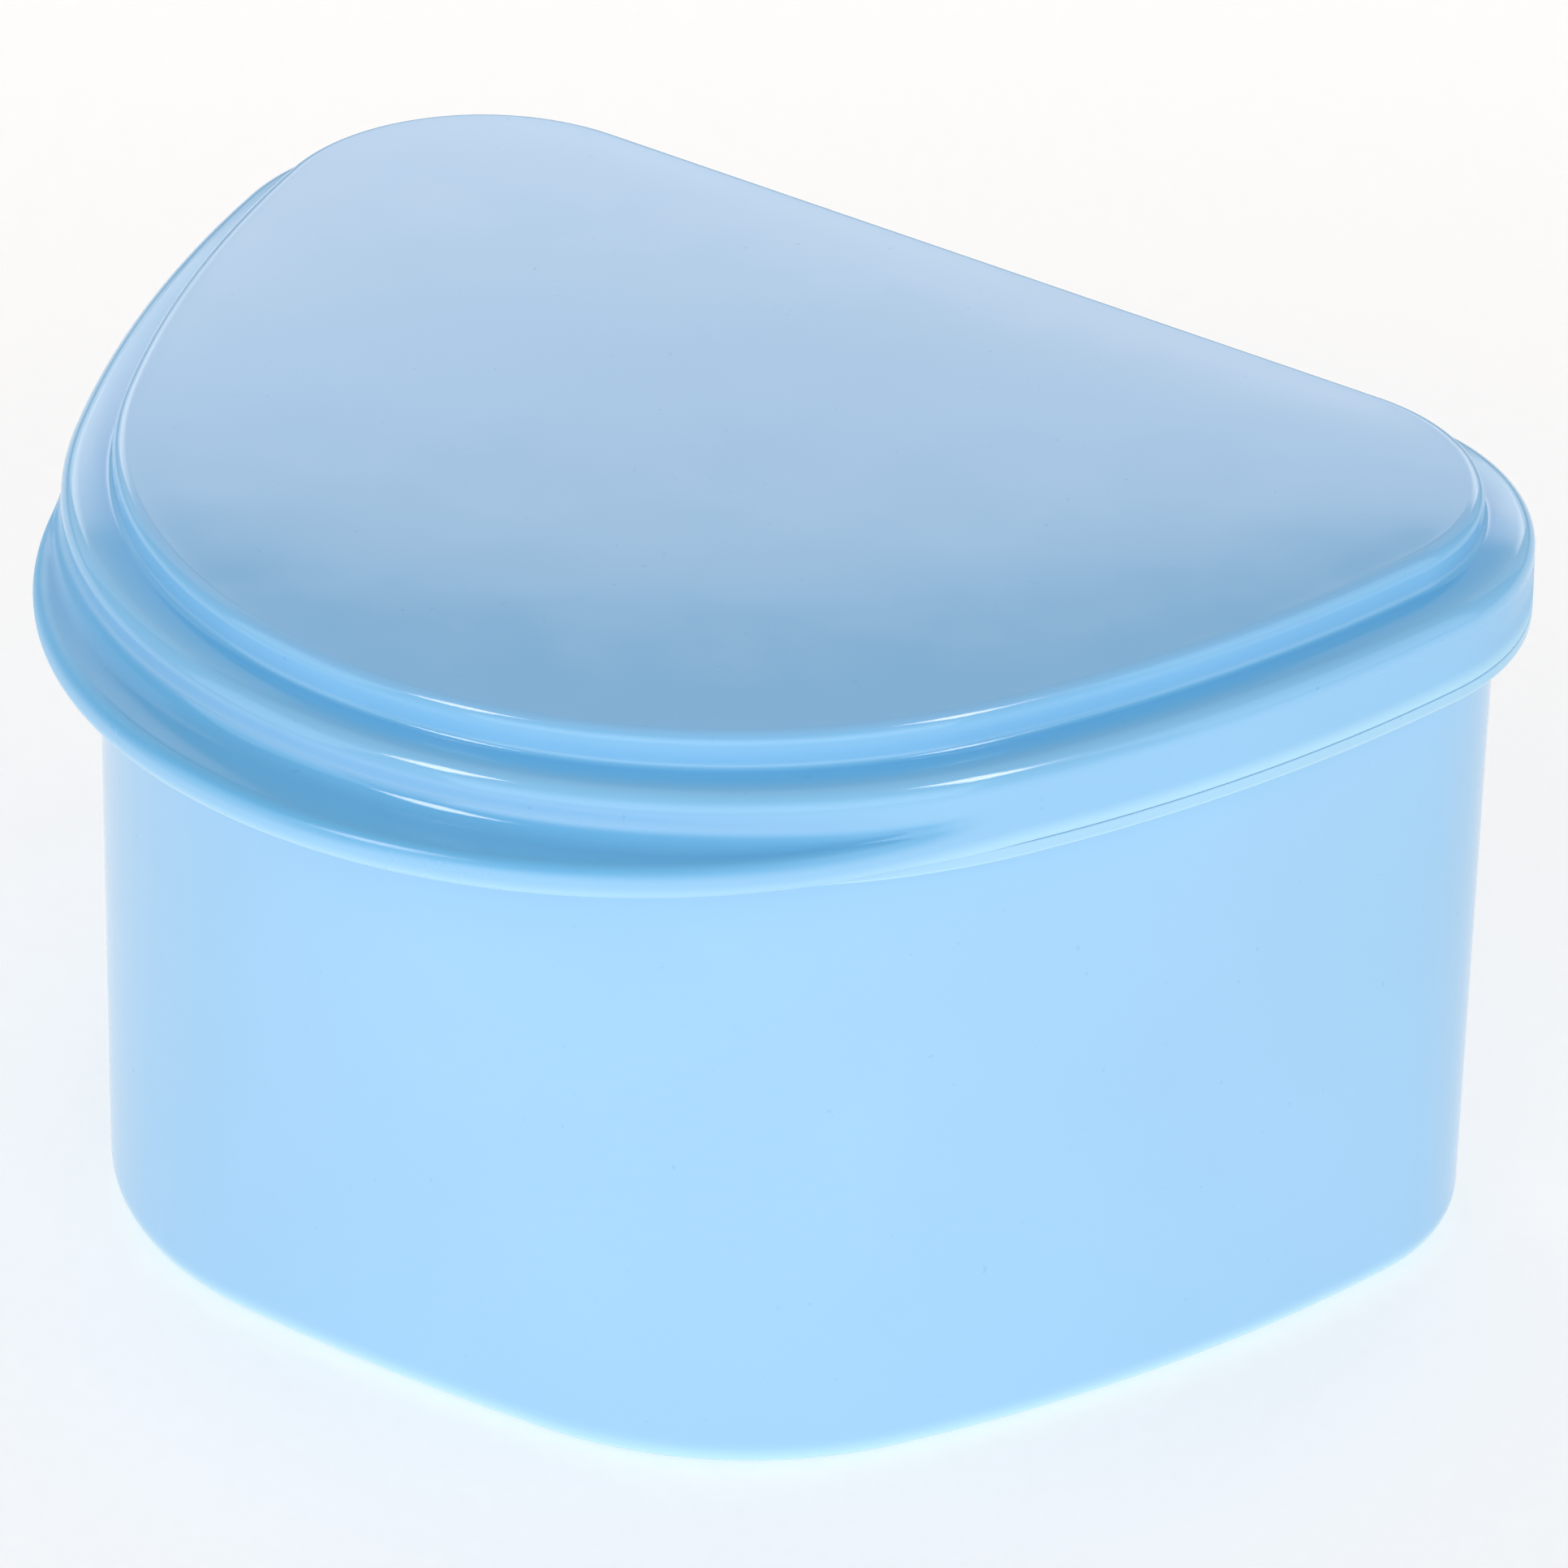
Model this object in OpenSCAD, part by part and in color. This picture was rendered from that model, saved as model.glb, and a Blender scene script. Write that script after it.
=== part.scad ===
// Hinged denture soaking case: a D-shaped tub, a stepped lid on a hinge rod,
// a soft rim seal and a lift-out strainer basket with a folding bail.
// Millimetres. +Z is up, the front with the thumb tab faces -Y, and the tub
// stands on z = 0 with the origin under the middle of its foot.

/* [Outline] */
// Length of the straight back edge of the rim
back_flat = 63.4; // [60:0.2:66]
// Radius of the two back corners of the rim
back_corner_r = 18.3; // [17:0.1:19.5]
// Radius of the long curved sides of the rim
side_r = 117; // [112:1:122]
// Direction in which each back corner runs into its side, from the back
corner_end = 99.7; // [98:0.1:101]
// Direction in which each side runs into the round front of the rim
side_end = 116.8; // [115:0.1:118]
// Direction in which each side runs into the front corner of the foot
foot_side_end = 120.1; // [119:0.1:121]
// Radius of the front corners of the foot
foot_corner_r = 28.9; // [27:0.1:30]
// Direction in which the foot's front corners run into its flat front
foot_corner_end = 175.6; // [174:0.1:176]

/* [Tub] */
// Inset of the foot from the rim outline
foot_inset = 3.48; // [3:0.02:4]
// Inset of the tub wall from the rim outline, just under the rim bead
neck_inset = 2.4; // [2.3:0.05:2.6]
// Rounding of the tub's bottom edge
foot_round = 2.75; // [2:0.05:3]
// Thickness of the tub's wall and floor
wall = 2; // [1.8:0.05:2.2]
// Height of the underside of the rim bead
bead_z = 45.9; // [45.5:0.1:46]
// Height of the top of the rim bead, where the lid meets it
part_z = 47; // [46.9:0.05:47.05]
// Height of the lip inside the lid
lip_z = 50; // [49.6:0.1:50]

/* [Lid] */
// Height of the top of the raised plateau, at its middle
top_z = 55.62; // [55.4:0.02:55.9]
// How far the plateau's edge lies below its middle
crown = 0.24; // [0:0.02:0.4]
// Inset of the plateau's wall from the rim outline
plateau_inset = 3.42; // [3.3:0.02:3.6]
// Height of the ledge around the plateau
ledge_z = 52.95; // [52.8:0.05:53]
// Height at which the upright skirt turns into the round shoulder
shoulder_z = 51.2; // [51.1:0.05:51.4]
// Thickness of the lid's upright skirt
skirt_wall = 1.6; // [1.5:0.05:1.65]
// Gap between the lid and the rim bead when the lid is shut
lid_gap = 0.2; // [0.15:0.05:0.3]
// How far the thumb tab stands out at its middle
tab_out = 5.5; // [4.5:0.1:5.6]
// Radius of the thumb tab's outer edge
tab_r = 39.8; // [39:0.1:41]
// Reach below which the tab's two tips ease into the skirt
tab_ease = 2; // [0.5:0.1:3]
// Height of the top of the thumb tab
tab_z = 49.42; // [49.3:0.02:49.6]

/* [Hinge] */
// Distance of the hinge axis behind the rim outline
hinge_y = 2.6; // [2.5:0.05:2.8]
// Height of the hinge axis
hinge_z = 47.7; // [47.6:0.05:47.8]
// Outer radius of the hinge knuckles
knuckle_r = 2; // [1.9:0.05:2.1]
// Radius of the hinge rod
rod_r = 1; // [0.9:0.05:1.1]
// Radial play of the rod in the lid's knuckles
rod_play = 0.06; // [0.04:0.01:0.08]
// Angle at which the lid's heel stops against the rim bead
open_angle = 110; // [100:1:115]

/* [Basket] */
// Height of the top edge of the basket
basket_z = 30; // [28:0.5:31]
// Thickness of the basket's wall
basket_wall = 1.3; // [1.2:0.05:1.5]
// Diameter of the drain holes in the basket's floor
drain_d = 4; // [3:0.1:4.5]
// Distance between the drain holes
drain_pitch = 7; // [6.5:0.5:9]
// Reach of the bail from its pivots to its outer edge
bail_reach = 14.8; // [12:0.2:15]
// Radius of the bail's pivot pins
pivot_r = 1.2; // [1:0.05:1.3]

/* [Hidden] */
$fn = 48;

tub_blue = [0.66, 0.85, 0.99];
lid_blue = [0.55, 0.75, 0.92];
seal_white = [0.86, 0.92, 0.96];
basket_white = [0.93, 0.96, 0.98];

// The sub-parts are drawn with the rim's straight back edge on y = 0 and are
// then moved forward by this much, which puts the origin under the foot.
origin_y = 37.5;

// ---- outlines ----------------------------------------------------------
// Every outline is a chain of tangent arcs. A point is found from the
// direction a of its outward normal, counted from the back (+Y) towards +X.
function dir(a) = [sin(a), cos(a)];

c_back = [back_flat / 2, -back_corner_r];
c_side = c_back + (back_corner_r - side_r) * dir(corner_end);
front_r = side_r + c_side.x / sin(side_end);
c_front = [0, c_side.y + (side_r - front_r) * cos(side_end)];

c_foot = c_side + (side_r - foot_corner_r) * dir(foot_side_end);
foot_front_r = foot_corner_r + c_foot.x / sin(foot_corner_end);
c_foot_front = [0, c_foot.y + (foot_corner_r - foot_front_r) * cos(foot_corner_end)];

function rim_half(a) =
    a <= corner_end ? c_back + back_corner_r * dir(a) :
    a <= side_end ? c_side + side_r * dir(a) :
    c_front + front_r * dir(a);

function foot_half(a) =
    a <= corner_end ? c_back + back_corner_r * dir(a) :
    a <= foot_side_end ? c_side + side_r * dir(a) :
    a <= foot_corner_end ? c_foot + foot_corner_r * dir(a) :
    c_foot_front + foot_front_r * dir(a);

// t = 0 is the foot outline, t = 1 the rim outline, d the distance outside it
function half_point(a, t, d) = (1 - t) * foot_half(a) + t * rim_half(a) + d * dir(a);
function edge(a, t, d) =
    a <= 180 ? half_point(a, t, d)
    : let (p = half_point(360 - a, t, d)) [-p.x, p.y];

half_dirs = concat(
    [for (i = [0 : 11]) corner_end * i / 12],
    [for (i = [0 : 6]) corner_end + (side_end - corner_end) * i / 7],
    [for (i = [0 : 17]) side_end + (180 - side_end) * i / 18]);
dirs = concat(half_dirs, [180], [for (i = [len(half_dirs) - 1 : -1 : 0]) 360 - half_dirs[i]]);

function outline(t, d) = [for (a = dirs) edge(a, t, d)];

// how far the thumb tab stands out of the rim outline in direction a
tab_c = [0, rim_half(180).y - tab_out + tab_r];
function tab_reach(a) =
    let (b = a <= 180 ? a : 360 - a, u = c_front - tab_c, k = u.y * cos(b))
    b <= side_end ? 0
    : let (e = max(0, -k + sqrt(k * k - u.y * u.y + tab_r * tab_r) - front_r), s = min(1, e / tab_ease))
      e * s * s * (3 - 2 * s);

// A row of a wall is [z, t, d] or, where the tab may stand out, [z, t, d, kind, size]
function row_offset(row, a) =
    len(row) == 3 ? row[2]
    : let (e = tab_reach(a))
      row[3] == "root" ? row[2] + min(row[4], 0.5 * e)
      : row[2] + max(min(0.9, 0.5 * e), e - row[4]);
function ring(row) = [for (a = dirs) let (p = edge(a, row[1], row_offset(row, a))) [p.x, p.y, row[0]]];

// Closed wall swept round the outline. The first and last rows are capped.
module swept(rows) {
    n = len(dirs);
    m = len(rows);
    polyhedron(
        points = [for (r = rows) each ring(r)],
        faces = concat(
            [[for (i = [n - 1 : -1 : 0]) i]],
            [for (j = [0 : m - 2], i = [0 : n - 1])
                [j * n + i, j * n + (i + 1) % n, (j + 1) * n + (i + 1) % n]],
            [for (j = [0 : m - 2], i = [0 : n - 1])
                [j * n + i, (j + 1) * n + (i + 1) % n, (j + 1) * n + i]],
            [[for (i = [0 : n - 1]) (m - 1) * n + i]]),
        convexity = 6);
}

// arc of rows: centre [d, z], radius, from angle a0 to a1 (0 = outward, 90 = up)
function arc_rows(t, d, z, r, a0, a1, k) =
    [for (i = [0 : k]) let (a = a0 + (a1 - a0) * i / k) [z + r * sin(a), t, d + r * cos(a)]];

// ---- tub ---------------------------------------------------------------
function tub_t(z) = min(1, z / bead_z);
function tub_d(z) = -foot_inset + (foot_inset - neck_inset) * min(1, z / bead_z);
function at_t(rows) = [for (r = rows) [r[0], tub_t(r[0]), r[2]]];

tub_rows = concat(
    at_t(arc_rows(0, tub_d(foot_round) - foot_round, foot_round, foot_round, -90, 0, 5)),
    [for (z = [12, 23, 34, 42]) [z, tub_t(z), tub_d(z)]],
    [[bead_z - 0.5, tub_t(bead_z - 0.5), -neck_inset],
     [bead_z - 0.1, 1, -neck_inset + 0.15],
     [bead_z, 1, -neck_inset + 0.5]],
    arc_rows(1, -0.35, bead_z + 0.35, 0.35, -90, 0, 3),
    arc_rows(1, -0.4, part_z - 0.4, 0.4, 0, 90, 3),
    [[part_z, 1, -2.1], [lip_z - 0.6, 1, -2.15]],
    arc_rows(1, -2.75, lip_z - 0.6, 0.6, 30, 90, 2),
    arc_rows(1, -3.7, lip_z - 0.6, 0.6, 90, 180, 3),
    [for (z = [bead_z, 34, 20, wall + 4]) [z, tub_t(z), tub_d(z) - wall]],
    at_t(arc_rows(0, tub_d(wall) - wall - 2.7, wall + 2.7, 2.7, 0, -90, 4)));

tub_knuckles = [[-24, -16.2], [-7.8, 7.8], [16.2, 24]];
lid_knuckles = [[-15.9, -8.1], [8.1, 15.9]];

module along_x(x0, x1) {
    translate([x0, 0, 0]) rotate([90, 0, 90]) linear_extrude(x1 - x0) children();
}
module rod(x0, x1, r) {
    translate([x0, hinge_y, hinge_z]) rotate([0, 90, 0]) cylinder(h = x1 - x0, r = r);
}

module tub() color(tub_blue) {
    difference() {
        union() {
            swept(tub_rows);
            for (k = tub_knuckles) {
                rod(k[0], k[1], knuckle_r);
                // web from the back wall to the knuckle
                along_x(k[0], k[1]) polygon([
                    [-neck_inset - 0.8, 41.5], [-neck_inset - 0.8, part_z - 0.05], [1.2, part_z - 0.05],
                    [hinge_y, hinge_z],
                    [hinge_y + 0.8 * knuckle_r * cos(50), hinge_z - 0.8 * knuckle_r * sin(50)],
                    [hinge_y - 0.6, hinge_z - knuckle_r - 0.9]]);
            }
        }
        rod(-30, 30, rod_r);
    }
}

// ---- lid ---------------------------------------------------------------
skirt_z = part_z + lid_gap;
edge_z = top_z - crown;
roof = 1.9;
plug_out = 4.75;
plug_in = 5.95;
plug_z = 49;
channel_z = 51.1;

lid_rows = concat(
    // underside of the roof, down inside the plug and up its outer face
    [[edge_z - roof, 1, -plug_in - 0.9],
     [edge_z - roof - 0.25, 1, -plug_in - 0.25],
     [edge_z - roof - 0.9, 1, -plug_in],
     [plug_z + 0.3, 1, -plug_in], [plug_z, 1, -plug_in + 0.3],
     [plug_z, 1, -plug_out - 0.3], [plug_z + 0.3, 1, -plug_out],
     [channel_z, 1, -plug_out],
     [channel_z, 1, -skirt_wall],
     [skirt_z + 0.3, 1, -skirt_wall], [skirt_z, 1, -skirt_wall + 0.3]],
    // bottom edge of the skirt and of the tab
    [[skirt_z, 1, -0.45],
     [skirt_z + 0.12, 1, -0.12, "edge", 1.15],
     [skirt_z + 0.3, 1, 0, "edge", 0.62],
     [skirt_z + 0.62, 1, 0, "edge", 0.16],
     [(skirt_z + tab_z) / 2, 1, 0, "edge", 0],
     [tab_z - 0.52, 1, 0, "edge", 0.16],
     [tab_z - 0.15, 1, 0, "edge", 0.55],
     [tab_z, 1, 0, "edge", 1.05],
     [tab_z + 0.06, 1, 0, "root", 0.9],
     [tab_z + 0.2, 1, 0, "root", 0.45],
     [tab_z + 0.5, 1, 0, "root", 0.13],
     [tab_z + 0.95, 1, 0]],
    arc_rows(1, -1.5, shoulder_z, 1.5, 0, 80, 5),
    [[ledge_z - 0.06, 1, -plateau_inset + 0.5],
     [ledge_z + 0.08, 1, -plateau_inset + 0.12],
     [ledge_z + 0.35, 1, -plateau_inset]],
    arc_rows(1, -plateau_inset - 1, edge_z - 1, 1, 0, 90, 6),
    // slight crown of the plateau
    [for (k = [[6.6, 0.3], [9.2, 0.58], [12.4, 0.82], [16, 1]]) [edge_z + crown * k[1], 1, -k[0]]]);

module lid() color(lid_blue) {
    difference() {
        union() {
            swept(lid_rows);
            for (k = lid_knuckles) {
                rod(k[0], k[1], knuckle_r);
                // web from the skirt to the knuckle
                along_x(k[0] + 0.25, k[1] - 0.25) polygon([
                    [-1, hinge_z + 0.6], [hinge_y, hinge_z],
                    [hinge_y + 0.8 * knuckle_r * cos(60), hinge_z + 0.8 * knuckle_r * sin(60)],
                    [-1, shoulder_z + 0.1]]);
                // heel that meets the rim bead when the lid is fully open
                translate([0, hinge_y, hinge_z]) rotate([open_angle, 0, 0])
                    along_x(k[0] + 0.6, k[1] - 0.6) polygon([
                        [-hinge_y + 0.15, -2], [-hinge_y + 0.15, -0.9],
                        [-1, -0.2], [0.3, -1.2]]);
            }
        }
        rod(-30, 30, rod_r + rod_play);
    }
}

// ---- hinge rod ---------------------------------------------------------
module hinge_rod() color("silver") rod(-24.3, 24.3, rod_r);

// ---- rim seal ----------------------------------------------------------
module rim_seal() color(seal_white) {
    translate([0, 0, lip_z + 0.2]) linear_extrude(channel_z - lip_z - 0.2)
        difference() {
            polygon(outline(1, -skirt_wall - 0.1));
            polygon(outline(1, -plug_out + 0.1));
        }
}

// ---- strainer basket ---------------------------------------------------
floor_z = 4.2;
floor_t = 1.4;
basket_d = 7;
pivot_y = -37;
pivot_z = basket_z + 2;
ear_x = 35.2;
arm_t = 1.8;

module basket_outer(d) polygon(outline(0, -d));

module basket_wall_slots() {
    // upright slots round the wall, square to it
    for (a = [70, 88, 101, 104, 107, 110, 113, 122, 133, 144, 155, 166, 174])
        for (s = [1, -1]) {
            p = half_point(a, 0, -basket_d);
            translate([s * p.x, p.y, 0]) rotate([0, 0, s * (90 - a) + (s < 0 ? 180 : 0)])
                translate([-3, -1.25, 9]) cube([6, 2.5, 13]);
        }
    for (x = [-28 : 7 : 28])
        translate([x - 1.25, -basket_d - 3, 9]) cube([2.5, 6, 13]);
}

module drain_holes() {
    rows_y = [for (j = [0 : 8]) -12.5 - j * drain_pitch * 0.866];
    for (j = [0 : len(rows_y) - 1], i = [-6 : 6]) {
        x = i * drain_pitch + (j % 2) * drain_pitch / 2;
        // half-width of the floor at this depth, less a margin
        w = rows_y[j] > -20 ? 38.5 - (20 + rows_y[j]) * 0.55
            : 38.5 - (-20 - rows_y[j]) * 0.22
              - (rows_y[j] < -42 ? (-42 - rows_y[j]) * (-42 - rows_y[j]) * 0.033 : 0);
        if (abs(x) + drain_d / 2 < w - 3)
            translate([x, rows_y[j], floor_z - 1]) cylinder(h = floor_t + 2, d = drain_d, $fn = 24);
    }
}

module ear(s) {
    // upright ear that carries the bail, with a shelf that stops the bail
    // both when it lies flat and when it stands up
    x0 = s > 0 ? ear_x : -ear_x - 1.6;
    translate([x0, pivot_y - 3.6, basket_z - 5])
        cube([1.6, 7.2, pivot_z - basket_z + 5]);
    translate([x0, pivot_y, pivot_z]) rotate([0, 90, 0]) cylinder(h = 1.6, r = 3.6);
    intersection() {
        translate([s > 0 ? ear_x - 2 : -ear_x - 6, pivot_y + 1.9, basket_z - 3.2])
            cube([8, 4, 3.2]);
        linear_extrude(60) basket_outer(basket_d + 0.4);
    }
    intersection() {
        translate([s > 0 ? ear_x : -ear_x - 6, pivot_y - 3.6, basket_z - 5])
            cube([6, 7.2, 5]);
        linear_extrude(60) basket_outer(basket_d + 0.4);
    }
}

module strainer_basket() color(basket_white) {
    difference() {
        union() {
            translate([0, 0, floor_z]) linear_extrude(basket_z - floor_z) basket_outer(basket_d);
            // stiff rim round the top edge
            translate([0, 0, basket_z - 1.6]) linear_extrude(1.6) basket_outer(basket_d - 0.7);
        }
        translate([0, 0, floor_z + floor_t]) linear_extrude(60) basket_outer(basket_d + basket_wall);
        basket_wall_slots();
        drain_holes();
    }
    // feet
    for (p = [[-27, -15], [27, -15], [-24, -55], [24, -55]])
        translate([p.x, p.y, wall + 0.3]) cylinder(h = floor_z - wall, r = 2.5);
    difference() {
        union() { ear(1); ear(-1); }
        translate([-50, pivot_y, pivot_z]) rotate([0, 90, 0]) cylinder(h = 100, r = pivot_r + 0.06);
    }
}

// ---- bail --------------------------------------------------------------
module bail_plan() {
    x1 = ear_x - 0.2;
    x0 = x1 - arm_t;
    y1 = pivot_y + bail_reach;
    rc = 6;
    difference() {
        union() {
            translate([-x1, pivot_y]) square([2 * x1, bail_reach - rc]);
            translate([-x1 + rc, pivot_y]) square([2 * (x1 - rc), bail_reach]);
            for (s = [-1, 1]) translate([s * (x1 - rc), y1 - rc]) circle(r = rc);
        }
        difference() {
            union() {
                translate([-x0, pivot_y - 1]) square([2 * x0, bail_reach - rc + 1]);
                translate([-x0 + rc - arm_t, pivot_y - 1]) square([2 * (x0 - rc + arm_t), bail_reach - arm_t + 1]);
                for (s = [-1, 1]) translate([s * (x1 - rc), y1 - rc]) circle(r = rc - arm_t);
            }
            // wider grip in the middle
            translate([-10, y1 - 5.4]) square([20, 8]);
            for (s = [-1, 1]) translate([s * 10, y1 - 3.6]) circle(r = 1.8);
        }
    }
    // tails that stop the bail when it stands up
    for (s = [-1, 1]) translate([s > 0 ? x0 : -x1, pivot_y - 4]) square([arm_t, 4.5]);
}

module basket_bail() color(basket_white) {
    translate([0, 0, pivot_z - 1.8]) linear_extrude(3.6) bail_plan();
    for (s = [-1, 1])
        translate([s > 0 ? ear_x - 0.7 : -ear_x - 1.5, pivot_y, pivot_z]) rotate([0, 90, 0])
            cylinder(h = 2.2, r = pivot_r);
}

module placed() translate([0, origin_y, 0]) children();

placed() tub();
placed() lid();
placed() hinge_rod();
placed() rim_seal();
placed() strainer_basket();
placed() basket_bail();
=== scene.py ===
# Looks of the hinged denture soaking case: tub, lid, hinge rod, rim seal,
# strainer basket and folding bail, in glossy and satin moulded plastic.
# Lengths are worked out in millimetres and scaled to metres when a mesh is made.
import math

import bmesh
import bpy
import numpy as np
from mathutils import Matrix, Vector


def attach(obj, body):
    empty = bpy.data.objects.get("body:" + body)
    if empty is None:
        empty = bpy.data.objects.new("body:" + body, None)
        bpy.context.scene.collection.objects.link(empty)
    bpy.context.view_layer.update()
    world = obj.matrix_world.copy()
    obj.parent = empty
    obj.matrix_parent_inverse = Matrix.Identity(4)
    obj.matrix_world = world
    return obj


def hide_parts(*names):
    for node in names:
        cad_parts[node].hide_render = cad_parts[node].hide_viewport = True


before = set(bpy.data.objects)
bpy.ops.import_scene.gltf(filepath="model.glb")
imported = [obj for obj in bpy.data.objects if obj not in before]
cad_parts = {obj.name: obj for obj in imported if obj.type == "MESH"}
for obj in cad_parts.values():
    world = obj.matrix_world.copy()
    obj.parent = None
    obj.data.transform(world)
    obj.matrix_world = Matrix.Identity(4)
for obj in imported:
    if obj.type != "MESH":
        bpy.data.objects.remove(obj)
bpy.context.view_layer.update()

MM = 0.001
ORIGIN_Y = 37.5  # the rim's straight back edge lies at y = 37.5 mm

# ---------------------------------------------------------------- outlines
BACK_FLAT, BACK_R, SIDE_R = 63.4, 18.3, 117.0
CORNER_END, SIDE_END = 99.7, 116.8
FOOT_SIDE_END, FOOT_R, FOOT_END = 120.1, 28.9, 175.6
FOOT_INSET, NECK_INSET, BEAD_Z, PART_Z, WALL = 3.48, 2.4, 45.9, 47.0, 2.0
TOP_Z, CROWN, PLATEAU_INSET, SHOULDER_Z, SKIRT_Z, TAB_Z = 55.62, 0.24, 3.42, 51.2, 47.025, 49.42
TAB_OUT, TAB_R, TAB_SINK, TAB_EASE = 5.8, 39.8, 0.3, 0.8
HINGE_Y, HINGE_Z, ROD_R, KNUCKLE_R, OPEN = 2.6, 47.7, 1.0, 2.0, 110.0


def unit(a):
    a = math.radians(a)
    return np.array([math.sin(a), math.cos(a)])


C_BACK = np.array([BACK_FLAT / 2, -BACK_R])
C_SIDE = C_BACK + (BACK_R - SIDE_R) * unit(CORNER_END)
FRONT_R = SIDE_R + C_SIDE[0] / math.sin(math.radians(SIDE_END))
C_FRONT = np.array([0, C_SIDE[1] + (SIDE_R - FRONT_R) * math.cos(math.radians(SIDE_END))])
C_FOOT = C_SIDE + (SIDE_R - FOOT_R) * unit(FOOT_SIDE_END)
FOOT_FRONT_R = FOOT_R + C_FOOT[0] / math.sin(math.radians(FOOT_END))
C_FOOT_FRONT = np.array([0, C_FOOT[1] + (FOOT_R - FOOT_FRONT_R) * math.cos(math.radians(FOOT_END))])


def rim_half(a):
    if a <= CORNER_END:
        return C_BACK + BACK_R * unit(a)
    if a <= SIDE_END:
        return C_SIDE + SIDE_R * unit(a)
    return C_FRONT + FRONT_R * unit(a)


def foot_half(a):
    if a <= CORNER_END:
        return C_BACK + BACK_R * unit(a)
    if a <= FOOT_SIDE_END:
        return C_SIDE + SIDE_R * unit(a)
    if a <= FOOT_END:
        return C_FOOT + FOOT_R * unit(a)
    return C_FOOT_FRONT + FOOT_FRONT_R * unit(a)


TAB_C = np.array([0, rim_half(180)[1] - TAB_OUT + TAB_R])


def smooth(x):
    x = max(0.0, min(1.0, x))
    return x * x * (3 - 2 * x)


def tab_reach(a):
    """How far the thumb tab stands out of the rim outline in direction a, eased in at its tips."""
    p, d = rim_half(a) - TAB_C, unit(a)
    k = p @ d
    inside = k * k - p @ p + TAB_R**2
    e = -k + math.sqrt(inside) - TAB_SINK if a > 100 and inside > 0 else -TAB_EASE
    if e <= -TAB_EASE:
        return 0.0
    return e if e >= TAB_EASE else (e + TAB_EASE) ** 2 / (4 * TAB_EASE)


def columns():
    """Columns round the outline: foot point, rim point, outward direction and tab reach, in mm."""
    half = [(0.0, x) for x in (-31.7, -28.0, -24.1, -20.0, -16.0, -12.0, -8.0, -4.0, -1.6, -0.5)]
    half += [(CORNER_END * i / 40, 0.0) for i in range(40)]
    half += [(CORNER_END + (SIDE_END - CORNER_END) * i / 14, 0.0) for i in range(14)]
    half += [(SIDE_END + (180 - SIDE_END) * i / 48, 0.0) for i in range(49)]
    foot, rim, out, reach = [], [], [], []
    full = [(a, x, 1) for a, x in half] + [(a, x, -1) for a, x in half[-2:0:-1]]
    for a, x, s in full:
        f, r, d = foot_half(a), rim_half(a), unit(a)
        shift = np.array([x, 0.0])
        flip = np.array([s, 1.0])
        foot.append((f + shift) * flip)
        rim.append((r + shift) * flip)
        out.append(d * flip)
        reach.append(tab_reach(a))
    return np.array(foot), np.array(rim), np.array(out), np.array(reach)


FOOT, RIM, OUT, REACH = columns()
N = len(RIM)


def ring(z, d, t=1.0):
    """One ring of points at height z and offset d (a number or one for each column), in mm."""
    d = np.broadcast_to(np.asarray(d, float), (N,))
    z = np.broadcast_to(np.asarray(z, float), (N,))
    p = (1 - t) * FOOT + t * RIM + d[:, None] * OUT
    return np.column_stack([p[:, 0], p[:, 1] + ORIGIN_Y, z])


def rounded(nodes, k=8, s=0.12):
    """Polyline (d, z) through nodes (d, z, radius), with each corner rounded and a support point beside each arc."""
    out = []
    for i, (x, y, r) in enumerate(nodes):
        p = np.array([x, y], float)
        if r == 0 or i in (0, len(nodes) - 1):
            out.append(p)
            continue
        a = np.array(nodes[i - 1][:2], float) - p
        b = np.array(nodes[i + 1][:2], float) - p
        la, lb = np.linalg.norm(a), np.linalg.norm(b)
        u, v = a / la, b / lb
        ang = math.acos(max(-1, min(1, float(u @ v))))
        t = r / math.tan(ang / 2)
        c = p + (u + v) / np.linalg.norm(u + v) * r / math.sin(ang / 2)
        start, end = p + u * t, p + v * t
        if la - t > 4 * s:
            out.append(start + u * s)
        a0 = math.atan2(*(start - c)[::-1])
        a1 = math.atan2(*(end - c)[::-1])
        turn = (a1 - a0 + math.pi) % (2 * math.pi) - math.pi
        for j in range(k + 1):
            w = a0 + turn * j / k
            out.append(c + r * np.array([math.cos(w), math.sin(w)]))
        if lb - t > 4 * s:
            out.append(end + v * s)
    return out


def scaled_rings(edge, heights, shares, centre):
    """Rings inside an edge ring, shrunk towards a centre."""
    rings = []
    for z, s in zip(heights, shares):
        r = centre + (edge - centre) * s
        r[:, 2] = z
        rings.append(r)
    return rings


def grid(bm, rings, tip_first=None, tip_last=None, closed=False):
    """Quads between rings of equal length, with an optional tip vertex closing each end."""
    rows = [[bm.verts.new(Vector(p) * MM) for p in r] for r in rings]
    n = len(rows[0])
    m = len(rows)
    for j in range(m if closed else m - 1):
        a, b = rows[j], rows[(j + 1) % m]
        for i in range(n):
            bm.faces.new((a[i], a[(i + 1) % n], b[(i + 1) % n], b[i]))
    for tip, row, first in ((tip_first, rows[0], True), (tip_last, rows[-1], False)):
        if tip is None:
            continue
        v = bm.verts.new(Vector(tip) * MM)
        for i in range(n):
            a, b = row[i], row[(i + 1) % n]
            bm.faces.new((v, b, a) if first else (v, a, b))
    return rows


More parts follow.
